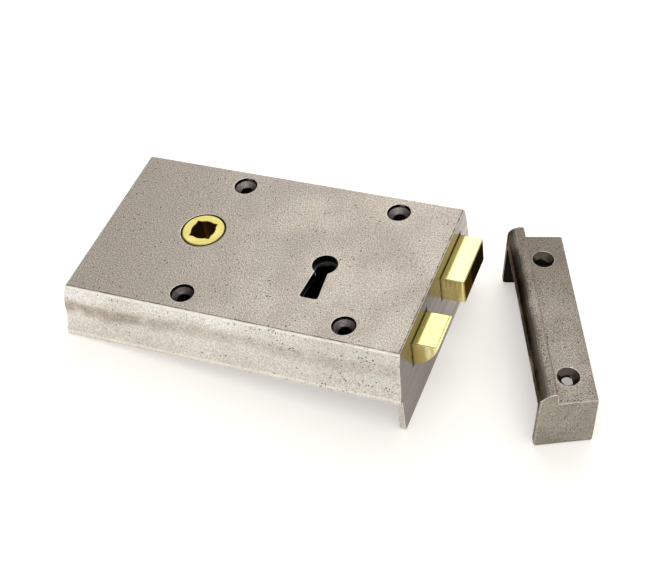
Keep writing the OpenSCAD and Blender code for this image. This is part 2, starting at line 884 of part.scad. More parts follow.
// Rings square to the wire, which leans by the coil's pitch
coil_lean = atan2(
    (spring_to - spring_from) / coil_turns, 2 * PI * coil_r
);
coil_mesh = [
    for (i = [0 : coil_last], s = [0 : coil_sides - 1])
    let (
        a = 360 * i / coil_rings_per_turn,
        b = 360 * s / coil_sides,
        out = [0, cos(a), sin(a)],
        ahead = [cos(coil_lean), sin(coil_lean) * sin(a), -sin(coil_lean) * cos(a)]
    )
    coil_points[i] + wire_r * (cos(b) * out + sin(b) * ahead)
];
coil_faces = concat(
    [
        for (i = [0 : coil_last - 1], s = [0 : coil_sides - 1])
        let (
            p = i * coil_sides + s,
            q = i * coil_sides + (s + 1) % coil_sides
        )
        each [[p, p + coil_sides, q], [q, p + coil_sides, q + coil_sides]]
    ],
    [for (s = [1 : coil_sides - 2]) [0, s, s + 1]],
    [
        for (s = [1 : coil_sides - 2])
        let (first = coil_last * coil_sides) [first, first + s + 1, first + s]
    ]
);
coil_gap = min([
    for (i = [0 : coil_last - 6], j = [i + 6 : min(i + 10, coil_last)])
    norm(coil_points[i] - coil_points[j])
]) - 2 * wire_r;
echo(latch_spring_least_gap_mm = coil_gap);

module latch_spring() {
    color(spring_steel) on_table() polyhedron(points = coil_mesh, faces = coil_faces);
}

module latch_spring_post() {
    color(steel) on_table() translate([-inner_end, spindle_up, bolt_mid])
        rotate([0, 90, 0]) cylinder(h = post_len, r = post_r);
}

// Detent, a leaf whose nose drops into a notch at each end of the throw

leaf_path = [
    [peg_x + peg_r + 0.3, peg_y],
    [nose_x - 8, dead_tail_top + 2.8],
    [nose_x - 4, dead_tail_top + 2.4],
    [nose_x - 1.6, dead_tail_top + 0.6],
    [nose_x, dead_tail_top - notch_d + 1.5],
    [nose_x + 1.6, dead_tail_top + 0.6],
    [nose_x + 3.6, dead_tail_top + 2.2]
];

module detent_spring() {
    eye_r = peg_r + pin_gap;
    leaf_z = bolt_mid - leaf_w / 2;
    color(spring_steel) on_table() difference() {
        union() {
            at_height(leaf_z, leaf_w) polygon(strip(leaf_path, leaf_t));
            rod_z([peg_x, peg_y], eye_r + leaf_t, leaf_z, leaf_w);
        }
        rod_z([peg_x, peg_y], eye_r, leaf_z - over, leaf_w + 2 * over);
    }
}

module detent_spring_peg() {
    color(steel) on_table() rod_z([peg_x, peg_y], peg_r, plate_t, inner_top - plate_t);
}

// Keep, an open box with a nosing over its mouth

module keep_body() {
    intersection() {
        translate([0, 0, -over]) linear_extrude(keep_h + nosing_r + 2 * over)
            polygon(keep_plan);
        translate([0, keep_len / 2, 0]) along_y(keep_len + 2 * keep_splay + 2 * over)
            polygon(keep_section);
    }
}

module keep_hollow() {
    side = keep_w - keep_wall;
    intersection() {
        translate([0, keep_len / 2, 0]) along_y(keep_len + 2 * keep_splay) polygon([
            [-2, -over], [side, -over], [side - keep_draft, ceiling_z],
            [nosing_w - 1, ceiling_z], [1.5, mouth_z], [-2, mouth_z]
        ]);
        linear_extrude(2 * keep_h, center = true) polygon([
            [-2, keep_wall - keep_splay], [side, keep_wall],
            [side, keep_len - keep_wall], [-2, keep_len + keep_splay - keep_wall]
        ]);
    }
}

module keep() {
    color(pewter) beside_lock() difference() {
        keep_body();
        keep_hollow();
        for (p = keep_fix_places)
            translate([p.x, p.y, keep_h])
                countersunk_hole(fix_r, keep_sink_r, 0.3, keep_plate + over);
    }
}

case();
back_plate();
back_plate_screws();
keyhole_ward_front();
keyhole_ward_rear();
follower();
follower_washer();
latch_head();
latch_tail();
latch_rivets();
latch_guide();
latch_guide_screws();
latch_spring();
latch_spring_post();
dead_bolt_head();
dead_bolt_tail();
dead_bolt_rivets();
dead_bolt_stump();
detent_spring();
detent_spring_peg();
keep();
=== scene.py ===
"""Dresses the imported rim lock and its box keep, and sets up the plain studio that shows them.

The lock leans on its lip, so its surfaces are placed in the lock's own axes: along (X) runs out of
the forend, across (Y) runs towards the dead bolt, and up (Z) stands out of the face. The keep has
the same three axes, turned about the vertical. Every length is in metres.
"""

import json
import logging
from dataclasses import dataclass, field
from enum import Enum
from functools import cached_property, reduce
from math import atan2, cos, pi, sin

import bpy
from bpy.types import Material, Node, NodeSocket, NodeTree
from mathutils import Matrix, Vector


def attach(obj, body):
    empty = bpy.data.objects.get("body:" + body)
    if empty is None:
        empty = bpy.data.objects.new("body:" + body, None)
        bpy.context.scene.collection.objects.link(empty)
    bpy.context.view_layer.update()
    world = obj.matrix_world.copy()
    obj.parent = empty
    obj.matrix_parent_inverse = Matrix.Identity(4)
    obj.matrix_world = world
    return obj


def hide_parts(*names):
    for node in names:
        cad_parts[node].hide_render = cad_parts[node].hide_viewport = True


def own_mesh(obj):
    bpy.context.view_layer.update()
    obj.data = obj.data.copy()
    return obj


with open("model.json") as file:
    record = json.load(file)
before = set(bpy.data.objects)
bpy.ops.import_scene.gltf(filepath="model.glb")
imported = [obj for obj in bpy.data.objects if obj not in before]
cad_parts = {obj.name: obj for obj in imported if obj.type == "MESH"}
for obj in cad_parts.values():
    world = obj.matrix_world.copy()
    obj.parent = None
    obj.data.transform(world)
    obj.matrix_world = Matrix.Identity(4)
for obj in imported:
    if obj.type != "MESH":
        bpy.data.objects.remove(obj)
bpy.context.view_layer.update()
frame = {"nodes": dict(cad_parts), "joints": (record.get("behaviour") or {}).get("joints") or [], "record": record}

log = logging.getLogger("rim_lock")

Colour = tuple[float, float, float, float]
Triple = tuple[float, float, float]
Feed = NodeSocket | float | Vector | Colour | Triple
Parts = dict[str, NodeSocket]
Pair = tuple[Vector, Vector]
Span = tuple[float, float]

# Between these two a surface passes from not facing along an axis to facing along it
FACES: Span = (0.9, 0.97)


def linear(value: int) -> float:
    """Undoes the screen's curve for one channel from 0 to 255."""
    share = value / 255
    return share / 12.92 if share <= 0.04045 else ((share + 0.055) / 1.055) ** 2.4


def tone(red: int, green: int, blue: int) -> Colour:
    """Turns a colour as seen on a screen into the linear colour that a shader takes."""
    return (linear(red), linear(green), linear(blue), 1.0)


class Graph:
    """A node tree that is being built, with short calls for the nodes that this scene uses."""

    def __init__(self, tree: NodeTree) -> None:
        """Keeps the tree to build in."""
        self.tree = tree

    def feed(self, socket: NodeSocket, value: Feed) -> None:
        """Joins another node's output to a socket, or sets the socket to a plain value.

        Args:
            socket: The input to fill.
            value: What goes into it.
        """
        if isinstance(value, NodeSocket):
            self.tree.links.new(value, socket)
        else:
            socket.default_value = value

    def node(self, kind: str, feeds: dict[str | int, Feed] | None = None, **settings: object) -> Node:
        """Adds a node.

        Args:
            kind: The node's type without its ShaderNode prefix.
            feeds: What goes into its inputs, by name or number.
            **settings: The node's own settings.

        Returns:
            The new node.
        """
        made = self.tree.nodes.new("ShaderNode" + kind)
        for name, value in settings.items():
            setattr(made, name, value)
        for key, value in (feeds or {}).items():
            self.feed(made.inputs[key], value)
        return made

    def math(self, operation: str, first: Feed, second: Feed = 0.0) -> NodeSocket:
        """Works out one sum on numbers and returns its result."""
        return self.node("Math", {0: first, 1: second}, operation=operation).outputs[0]

    def vector(self, operation: str, first: Feed, second: Feed) -> NodeSocket:
        """Works out one sum on vectors that gives a vector, and returns it."""
        return self.node("VectorMath", {0: first, 1: second}, operation=operation).outputs[0]

    def dot(self, vector: NodeSocket, direction: Feed) -> NodeSocket:
        """Returns how far a vector reaches along a direction."""
        return self.node("VectorMath", {0: vector, 1: direction}, operation="DOT_PRODUCT").outputs["Value"]

    def length(self, vector: NodeSocket) -> NodeSocket:
        """Returns how long a vector is."""
        return self.node("VectorMath", {0: vector}, operation="LENGTH").outputs["Value"]

    def parts(self, vector: NodeSocket) -> Parts:
        """Returns a vector's parts by the names X, Y and Z."""
        outputs = self.node("SeparateXYZ", {0: vector}).outputs
        return {name: outputs[name] for name in "XYZ"}

    def joined(self, parts: dict[str, Feed]) -> NodeSocket:
        """Returns the vector with these parts."""
        return self.node("CombineXYZ", parts).outputs[0]

    def band(self, value: NodeSocket, low: float, high: float, start: float = 0.0,
             end: float = 1.0) -> NodeSocket:
        """Turns a number smoothly from start at low to end at high."""
        feeds = {"Value": value, "From Min": low, "From Max": high, "To Min": start, "To Max": end}
        return self.node("MapRange", feeds, interpolation_type="SMOOTHSTEP").outputs["Result"]

    def mix(self, factor: Feed, first: Feed, second: Feed, blend: str = "MIX") -> NodeSocket:
        """Mixes two colours and returns the result."""
        feeds = {0: factor, 6: first, 7: second}
        return self.node("Mix", feeds, data_type="RGBA", blend_type=blend).outputs[2]

    def blend(self, factor: Feed, first: Feed, second: Feed) -> NodeSocket:
        """Mixes two numbers and returns the result."""
        return self.node("Mix", {0: factor, 2: first, 3: second}, data_type="FLOAT").outputs[0]

    def noise(self, place: NodeSocket, scale: Feed, detail: float = 2.0,
              roughness: float = 0.5) -> NodeSocket:
        """Returns cloudy noise between 0 and 1 at a scale in cycles a metre."""
        feeds = {"Vector": place, "Scale": scale, "Detail": detail, "Roughness": roughness}
        return self.node("TexNoise", feeds).outputs[0]

    def within(self, value: NodeSocket, middle: float, half: float, soft: float) -> NodeSocket:
        """Returns 1 where a number lies within half of a middle, and fades to 0 over a soft border."""
        away = self.math("ABSOLUTE", self.math("SUBTRACT", value, middle))
        return self.band(away, half, half + soft, 1.0, 0.0)

    def both(self, *masks: Feed) -> NodeSocket:
        """Multiplies masks or numbers with each other."""
        return reduce(lambda product, mask: self.math("MULTIPLY", product, mask), masks)

    def either(self, *masks: NodeSocket) -> NodeSocket:
        """Returns the largest of several masks."""
        return reduce(lambda largest, mask: self.math("MAXIMUM", largest, mask), masks)

    def opposite(self, mask: NodeSocket) -> NodeSocket:
        """Returns 1 less a mask."""
        return self.math("SUBTRACT", 1.0, mask)


@dataclass(frozen=True)
class Axes:
    """A piece's own axes in the shared frame: an origin and three directions at right angles."""

    origin: Vector
    along: Vector
    across: Vector
    up: Vector

    def point(self, spot: Vector) -> Vector:
        """Returns a spot given in these axes as a point of the shared frame."""
        return self.origin + self.along * spot.x + self.across * spot.y + self.up * spot.z

    def extent(self, name: str) -> Pair:
        """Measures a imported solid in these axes.

        Args:
            name: The solid's name.

        Returns:
            Its lowest and its highest corner.
        """
        solid = frame["nodes"][name]
        corners = [solid.matrix_world @ vertex.co - self.origin for vertex in solid.data.vertices]
        ways = (self.along, self.across, self.up)
        return (Vector([min(corner.dot(way) for corner in corners) for way in ways]),
                Vector([max(corner.dot(way) for corner in corners) for way in ways]))

    def turned(self, graph: Graph, vector: NodeSocket) -> NodeSocket:
        """Returns a vector of the shared frame as it is in these axes."""
        ways = zip("XYZ", (self.along, self.across, self.up))
        return graph.joined({name: graph.dot(vector, way) for name, way in ways})


@dataclass(frozen=True)
class Blended:
    """The colour, roughness and height of a stack of skins; a smooth one has a height of 0.5."""

    colour: NodeSocket | Colour
    roughness: NodeSocket | float
    height: NodeSocket | float = 0.5

    def under(self, graph: Graph, mask: NodeSocket, other: "Blended") -> "Blended":
        """Returns this skin with another one over it where the mask is 1."""
        return Blended(graph.mix(mask, self.colour, other.colour),
                       graph.blend(mask, self.roughness, other.roughness),
                       graph.blend(mask, self.height, other.height))


@dataclass(frozen=True)
class Finish:
    """A metal finish for pieces with their own axes, which builds one material with its name."""

    axes: Axes
    name: str

    @cached_property
    def made(self) -> Material:
        """The material that is being built."""
        made = bpy.data.materials.new(self.name)
        made.use_nodes = True
        return made

    @cached_property
    def graph(self) -> Graph:
        """The material's node tree."""
        return Graph(self.made.node_tree)

    @cached_property
    def shader(self) -> Node:
        """The material's own shader."""
        return self.made.node_tree.nodes["Principled BSDF"]

    @cached_property
    def place(self) -> NodeSocket:
        """The shader's position in the piece's axes, in metres."""
        position = self.graph.node("TexCoord").outputs["Object"]
        return self.axes.turned(self.graph, self.graph.vector("SUBTRACT", position, self.axes.origin))

    @cached_property
    def at(self) -> Parts:
        """The parts of that position."""
        return self.graph.parts(self.place)

    @cached_property
    def facing(self) -> Parts:
        """How far the surface faces along each of the piece's axes."""
        normal = self.graph.node("NewGeometry").outputs["True Normal"]
        return self.graph.parts(self.axes.turned(self.graph, normal))

    def join(self, skin: Blended, depth: float, normal: NodeSocket) -> Material:
        """Joins a skin to the shader.

        Args:
            skin: The colour, roughness and height to show.
            depth: How deep a height of 1 is, in metres.
            normal: The normal that the height disturbs.

        Returns:
            The finished material.
        """
        feeds = {"Strength": 1.0, "Distance": depth, "Height": skin.height, "Normal": normal}
        bumped = self.graph.node("Bump", feeds).outputs["Normal"]
        shown = {"Metallic": 1.0, "Base Color": skin.colour, "Roughness": skin.roughness, "Normal": bumped}
        for name, value in shown.items():
            self.graph.feed(self.shader.inputs[name], value)
        return self.made


class Effect:
    """A shader node group that several materials place with their own values."""

    name = "effect"
    takes: dict[str, float] = {}
    gives: tuple[str, ...] = ()
    gives_normal = False

    def draw(self, graph: Graph, takes: Parts) -> Parts:
        """Builds the inside of the group; each effect has its own.

        Args:
            graph: The group's node tree.
            takes: What the group takes, by name.

        Returns:
            What it gives, by name.
        """
        raise NotImplementedError

    def tree(self) -> NodeTree:
        """Returns the group's node tree, built the first time it is asked for."""
        if self.name in bpy.data.node_groups:
            return bpy.data.node_groups[self.name]
        made = bpy.data.node_groups.new(self.name, "ShaderNodeTree")
        new = made.interface.new_socket
        new("Place", in_out="INPUT", socket_type="NodeSocketVector")
        for name, value in self.takes.items():
            new(name, in_out="INPUT", socket_type="NodeSocketFloat").default_value = value
        for name in self.gives:
            new(name, in_out="OUTPUT", socket_type="NodeSocketFloat")
        if self.gives_normal:
            new("Normal", in_out="OUTPUT", socket_type="NodeSocketVector")
        inputs, outputs = made.nodes.new("NodeGroupInput"), made.nodes.new("NodeGroupOutput")
        graph = Graph(made)
        for name, value in self.draw(graph, inputs.outputs).items():
            graph.feed(outputs.inputs[name], value)
        return made

    def place(self, finish: Finish, **values: Feed) -> Parts:
        """Puts the group into a material, with the inputs that differ from their usual value."""
        feeds = {"Place": finish.place, **values}
        return finish.graph.node("Group", feeds, node_tree=self.tree()).outputs


class CastGrain(Effect):
    """The pebbly skin of a casting: its height, light and dark specks, and small sharp pits."""

    name = "cast_grain"
    takes = {"Grain": 800.0, "Pitting": 0.25}
    gives = ("Height", "Speck", "Pit")
    bend: Triple = (0.0007, 0.0007, 0.0007)
    pit_sizes: Span = (0.11, 0.3)
    crowding: Span = (0.15, 1.6)

    def draw(self, graph: Graph, takes: Parts) -> Parts:
        """Draws pebbles and sand as noise, and pits as the middles of bent, scattered cells."""
        place, grain = takes["Place"], takes["Grain"]
        pebble = graph.noise(place, graph.both(grain, 1.3))
        sand = graph.noise(place, graph.both(grain, 2.6), 3.0, 0.6)
        cloud = graph.node("TexNoise", {"Vector": place, "Scale": graph.both(grain, 1.6)})
        bent = graph.vector("ADD", place, graph.vector("MULTIPLY", cloud.outputs["Color"], self.bend))
        cells = graph.node("TexVoronoi", {"Vector": bent, "Scale": graph.both(grain, 0.9)})
        dice = graph.node("SeparateColor", {"Color": cells.outputs["Color"]}).outputs
        size = graph.band(dice["Green"], 0.0, 1.0, *self.pit_sizes)
        hollow = graph.band(graph.math("DIVIDE", cells.outputs["Distance"], size), 0.55, 1.1, 1.0, 0.0)
        crowded = graph.band(graph.noise(place, 55.0), 0.35, 0.65, *self.crowding)
        chance = graph.both(takes["Pitting"], crowded)
        pit = graph.both(hollow, graph.math("LESS_THAN", dice["Red"], chance))
        skin = graph.blend(0.45, pebble, sand)
        return {"Height": graph.math("SUBTRACT", skin, graph.both(pit, 0.5)),
                "Speck": graph.band(graph.blend(0.75, pebble, sand), 0.42, 0.58), "Pit": pit}


class Mottle(Effect):
    """Slow changes over a surface: soft clouds, and stains with a broken edge."""

    name = "mottle"
    takes = {"Clouds": 38.0, "Stains": 26.0}
    gives = ("Cloud", "Stain")

    def draw(self, graph: Graph, takes: Parts) -> Parts:
        """Draws both as noise of several sizes."""
        cloud = graph.noise(takes["Place"], takes["Clouds"], 4.0, 0.55)
        stain = graph.noise(takes["Place"], takes["Stains"], 7.0, 0.68)
        return {"Cloud": graph.band(cloud, 0.34, 0.66), "Stain": graph.band(stain, 0.52, 0.7)}


class EdgeWear(Effect):
    """Edges that handling has rounded and rubbed bright, with a ragged border."""

    name = "edge_wear"
    takes = {"Width": 0.0008, "Least": 0.03, "Most": 0.12}
    gives = ("Worn",)
    gives_normal = True

    def draw(self, graph: Graph, takes: Parts) -> Parts:
        """Finds edges where a rounded normal leaves the flat one, and breaks them up with noise."""
        rounded = graph.node("Bevel", {"Radius": takes["Width"]}, samples=6).outputs["Normal"]
        flat = graph.node("NewGeometry").outputs["Normal"]
        rough = graph.band(graph.noise(takes["Place"], 420.0, 4.0, 0.65), 0.3, 0.7, 0.25, 1.6)
        leaving = graph.both(graph.opposite(graph.dot(rounded, flat)), rough)
        return {"Worn": graph.band(leaving, takes["Least"], takes["Most"]), "Normal": rounded}


class Brushing(Effect):
    """Fine parallel lines left by a wheel or belt, which run along the piece's across axis."""

    name = "brushing"
    takes = {"Lines": 2600.0, "Length": 30.0}
    gives = ("Height", "Streak")

    def draw(self, graph: Graph, takes: Parts) -> Parts:
        """Stretches noise along the lines, so that it changes slowly across and fast along and up."""
        at = graph.parts(takes["Place"])
        lines, length = takes["Lines"], takes["Length"]
        sizes = zip("XYZ", (lines, length, lines))
        stretched = graph.joined({name: graph.both(at[name], size) for name, size in sizes})
        streak = graph.noise(stretched, 1.0, 3.0, 0.6)
        broad = graph.noise(stretched, 0.14)
        return {"Height": streak, "Streak": graph.band(graph.blend(0.6, streak, broad), 0.34, 0.66)}


class HandPolish(Effect):
    """The slow waves and faint scratches that polishing by hand leaves in soft metal."""

    name = "hand_polish"
    takes = {"Waves": 90.0, "Scratches": 900.0}
    gives = ("Wave", "Scratch", "Tarnish")
    drawn_out: Triple = (0.12, 1.0, 1.0)

    def draw(self, graph: Graph, takes: Parts) -> Parts:
        """Draws waves and tarnish as slow noise, and scratches as noise drawn out one way."""
        place = takes["Place"]
        drawn = graph.vector("MULTIPLY", place, self.drawn_out)
        scratch = graph.noise(drawn, takes["Scratches"], 2.0, 0.7)
        tarnish = graph.noise(place, 160.0, 5.0, 0.62)
        return {"Wave": graph.noise(place, takes["Waves"], 1.0, 0.4),
                "Scratch": graph.band(scratch, 0.6, 0.72), "Tarnish": graph.band(tarnish, 0.45, 0.72)}


@dataclass(frozen=True)
class Skin:
    """One kind of cast surface: its colours, its gloss, its specks and the depth of its grain."""

    clean: Colour
    shade: Colour
    stain: Colour
    pit: Colour
    roughness: float
    cloudiness: float
    stained: float
    specks: float
    depth: float

    def lay(self, graph: Graph, grain: Parts, mottle: Parts, clean: Feed | None = None) -> Blended:
        """Lays the skin over the grain and clouds of a casting.

        Args:
            graph: The material's node tree.
            grain: A placed CastGrain group.
            mottle: A placed Mottle group.
            clean: The colour to start from, where that changes over the piece.

        Returns:
            The skin's colour, roughness and height.
        """
        cloud = graph.both(mottle["Cloud"], self.cloudiness)
        colour = graph.mix(cloud, self.clean if clean is None else clean, self.shade)
        colour = graph.mix(graph.both(mottle["Stain"], self.stained), colour, self.stain)
        speck = graph.both(graph.math("SUBTRACT", grain["Speck"], 0.5), self.specks)
        lit = graph.math("ADD", speck, 1.0)
        colour = graph.mix(1.0, colour, graph.joined({"X": lit, "Y": lit, "Z": lit}), "MULTIPLY")
        colour = graph.mix(grain["Pit"], colour, self.pit)
        roughness = graph.math("ADD", self.roughness, graph.both(speck, 0.2))
        return Blended(colour, roughness, graph.both(grain["Height"], self.depth))


@dataclass(frozen=True)
class CaseFinish(Finish):
    """The lock's casting: a brownish grey face, paler sides, a ground forend, and holes and mouths
    darkened with painted shade; the face, sides and forend carry painted light and shade too.

    A mouth is the middle and the half sizes of an opening in the forend. A Span is where one look
    fades into another along one of the lock's axes.
    """

    hole_middle: Vector
    hole_spread: Vector
    hole_radius: float
    half_width: float
    length: float
    mouths: tuple[Pair, ...]
    # Painted shade: the face's darker colour at its plain end
    face_end_shade: Colour = tone(180, 171, 161)
    face: Skin = Skin(tone(214, 206, 194), tone(184, 175, 166), tone(196, 179, 158), tone(62, 54, 47),
                      0.5, 0.7, 0.32, 0.66, 1.4)
    side: Skin = Skin(tone(230, 226, 218), tone(213, 209, 200), tone(198, 189, 173), tone(66, 60, 53),
                      0.46, 0.6, 0.3, 0.42, 1.4)
    # Painted highlight: the paler crest of the moulded sides
    crest_highlight: Colour = tone(249, 248, 243)
    grey: Colour = tone(220, 218, 210)
    # Painted shade: the darker grey of the lip, for the shade in its fillet
    lip_shaded_grey: Colour = tone(198, 196, 186)
    # Painted shade: the darker patchy band across the moulded sides, below their crest
    band: Skin = Skin(tone(178, 169, 157), tone(160, 150, 138), tone(156, 142, 122), tone(88, 80, 70),
                      0.44, 0.6, 0.3, 0.6, 1.7)
    # The ground forend's near colour is darker with painted shade; the far one is paler with painted light
    forend: Colour = tone(113, 104, 98)
    forend_far_lit: Colour = tone(188, 182, 177)
    forend_streak: Colour = tone(118, 109, 104)
    sink: Colour = tone(150, 142, 138)
    # Painted shade: near black on the hole walls and round the mouths; the countersinks' darker patches use it too
    rim: Colour = tone(20, 18, 16)
    edge_line: Colour = tone(96, 86, 76)
    # The bright edge colour: rubbed wear on the edges, and the painted highlight lines on the sides
    bright_edge: Colour = tone(252, 248, 238)
    grain_depth: float = 0.00034
    sink_outline: float = 0.00055
    sink_level: Span = (-0.0042, -0.0036)
    wall_level: Span = (-0.03, -0.025)
    wall_in: float = 0.004
    mouth_soft: float = 0.00015
    mouth_depth: Span = (-0.012, -0.010)
    ground_depth: Span = (-0.0006, -0.0003)
    worn_level: Span = (-0.004, -0.002)
    pitted: Span = (-0.09, -0.01)
    pale: Span = (-0.075, -0.03)
    crest_level: Span = (-0.0075, -0.003)
    shade_band_top: Span = (-0.0095, -0.006)
    shade_band_foot: Span = (-0.0165, -0.0115)
    shade_band_fades: float = -0.07
    crest_highlight_line: float = -0.0008
    foot_highlight_line: float = -0.0246
    lip_level: Span = (-0.0276, -0.0264)
    line_in: float = 0.0004
    far_from: float = -0.022

    def material(self) -> Material:
        """Returns the casting's material, with each surface found by where it lies and faces."""
        graph, at = self.graph, self.at
        up = graph.band(self.facing["Z"], *FACES)
        pitting = graph.blend(up, graph.band(at["X"], *self.pitted, 0.15, 1.1), 0.22)
        grain = CastGrain().place(self, Pitting=pitting)
        mottle = Mottle().place(self)
        wear = EdgeWear().place(self, Least=0.01, Most=0.04)
        # Painted shade: the face is coloured darker towards the plain end
        lengthwise = graph.band(at["X"], -self.length, -0.3 * self.length)
        face = self.face.lay(graph, grain, mottle, graph.mix(lengthwise, self.face_end_shade, self.face.clean))
        skin = self.side_skin(grain, mottle).under(graph, up, face)
        ground = graph.both(graph.band(self.facing["X"], *FACES), graph.band(at["X"], *self.ground_depth))
        skin = skin.under(graph, ground, self.ground_skin())
        # Painted shade: the walls of the holes and the mouths, with a rim round each mouth, go near black
        cut = graph.either(self.hole_wall_shade_mask(up), self.mouth_shade_mask())
        skin = skin.under(graph, cut, Blended(self.rim, 0.35))
        skin = skin.under(graph, graph.both(cut, self.sink_mask()), self.sink_skin(mottle))
        edge = graph.both(wear["Worn"], graph.opposite(cut),
                          graph.band(at["Z"], *self.worn_level, 0.5, 0.9))
        skin = skin.under(graph, edge, Blended(self.bright_edge, 0.34))
        skin = skin.under(graph, graph.both(self.line_mask(), up), Blended(self.edge_line, 0.5))
        return self.join(skin, self.grain_depth, wear["Normal"])

    def side_skin(self, grain: Parts, mottle: Parts) -> Blended:
        """Paints a highlight on the moulded sides' crest, a darker patchy band of painted shade below it, and a
        faint highlight line along the foot.

        Args:
            grain: The placed CastGrain group.
            mottle: The placed Mottle group.

        Returns:
            The skin of the sides and of the lip below them.
        """
        graph, at = self.graph, self.at
        wander = graph.both(graph.math("SUBTRACT", graph.noise(self.place, 26.0, 3.0), 0.5), 0.009)
        height = graph.math("ADD", at["Z"], wander)
        left = graph.band(at["X"], *self.pale, 1.0, 0.0)
        clean = graph.mix(left, self.grey, self.side.clean)
        # Painted highlight on the crest of the sides, on their left part
        high = graph.both(graph.band(height, *self.crest_level), left)
        side = self.side.lay(graph, grain, mottle, graph.mix(high, clean, self.crest_highlight))
        # Painted shade: a darker, patchy band below the crest, strongest towards the plain end
        dark = graph.both(graph.band(height, *self.shade_band_top, 1.0, 0.0), graph.band(height, *self.shade_band_foot),
                          graph.band(at["X"], -self.length, self.shade_band_fades, 1.0, 0.4),
                          graph.band(graph.noise(self.place, 110.0, 4.0, 0.6), 0.3, 0.55, 0.3, 1.0))
        side = side.under(graph, dark, self.band.lay(graph, grain, mottle))
        # Painted highlight: a thin bright line just under the top edge, broken in places
        broken = graph.band(graph.noise(self.place, 320.0, 3.0, 0.6), 0.3, 0.55)
        line = graph.both(graph.within(at["Z"], self.crest_highlight_line, 0.0004, 0.0003), broken, 0.95)
        side = side.under(graph, line, Blended(self.bright_edge, 0.5))
        # Painted highlight: a faint bright line along the foot's rounded edge
        line = graph.both(graph.within(at["Z"], self.foot_highlight_line, 0.0003, 0.0006), 0.4)
        side = side.under(graph, line, Blended(self.bright_edge, 0.36))
        # Painted shade: the lip below the sides is a darker grey
        lip = self.side.lay(graph, grain, mottle, self.lip_shaded_grey)
        return side.under(graph, graph.band(at["Z"], *self.lip_level, 1.0, 0.0), lip)

    def line_mask(self) -> NodeSocket:
        """Finds the thin dark lines along the face's front and forend edges, broken in places."""
        graph, at = self.graph, self.at
        line = graph.either(graph.within(at["Y"], self.line_in - self.half_width, 0.0001, 0.0003),
                            graph.within(at["X"], -self.line_in, 0.0002, 0.0002))
        return graph.both(line, graph.band(graph.noise(self.place, 260.0, 3.0, 0.6), 0.4, 0.6, 0.4, 1.0))

    def mouth_shade_mask(self) -> NodeSocket:
        """Finds the walls of the mouths that the bolts run through, and a rim round them, for painted shade."""
        graph, at = self.graph, self.at
        masks = [graph.both(graph.within(at["Y"], middle.y, half.y, self.mouth_soft),
                            graph.within(at["Z"], middle.z, half.z, self.mouth_soft))
                 for middle, half in self.mouths]
        return graph.both(graph.either(*masks), graph.band(at["X"], *self.mouth_depth))

    def ground_skin(self) -> Blended:
        """Grinds the forend, with lines that run across the lock, painted shade at the near end and a paler far
        end of painted light.

        Returns:
            The forend's skin.
        """
        graph = self.graph
        brushed = Brushing().place(self, Lines=1500.0, Length=10.0)
        # Painted light and shade: the forend pales from its near end towards its far end
        far = graph.band(self.at["Y"], self.far_from, self.half_width)
        clean = graph.mix(far, self.forend, self.forend_far_lit)
        colour = graph.mix(graph.both(brushed["Streak"], 0.7), clean, self.forend_streak)
        roughness = graph.band(brushed["Streak"], 0.0, 1.0, 0.26, 0.33)
        return Blended(colour, roughness, graph.both(brushed["Height"], 0.05))

    def sink_skin(self, mottle: Parts) -> Blended:
        """Returns the turned skin of the countersinks, with darker patches."""
        rings = self.graph.noise(self.place, 1500.0, 2.0, 0.6)
        patches = self.graph.both(mottle["Cloud"], 0.6)
        return Blended(self.graph.mix(patches, self.sink, self.rim), 0.24, self.graph.both(rings, 0.9))

    def hole_wall_shade_mask(self, up: NodeSocket) -> NodeSocket:
        """Finds the walls of every hole that is cut through the face, for painted shade."""
        graph, at, half = self.graph, self.at, self.length / 2
        inside = graph.both(graph.within(at["Y"], 0.0, self.half_width - self.wall_in, 0.001),
                            graph.within(at["X"], -half, half - self.wall_in, 0.001))
        return graph.both(inside, graph.opposite(up), graph.band(at["Z"], *self.wall_level))

    def sink_mask(self) -> NodeSocket:
        """Finds the countersinks' cones, which lie alike about the middle of their rectangle.

        Returns:
            1 on the cones.
        """
        graph, offsets = self.graph, {}
        for index, name in enumerate("XY"):
            folded = graph.math("ABSOLUTE", graph.math("SUBTRACT", self.at[name], self.hole_middle[index]))
            offsets[name] = graph.math("SUBTRACT", folded, self.hole_spread[index])
        distance = graph.length(graph.joined(offsets))
        return graph.both(graph.math("LESS_THAN", distance, self.hole_radius - self.sink_outline),
                          graph.band(self.at["Z"], *self.sink_level))


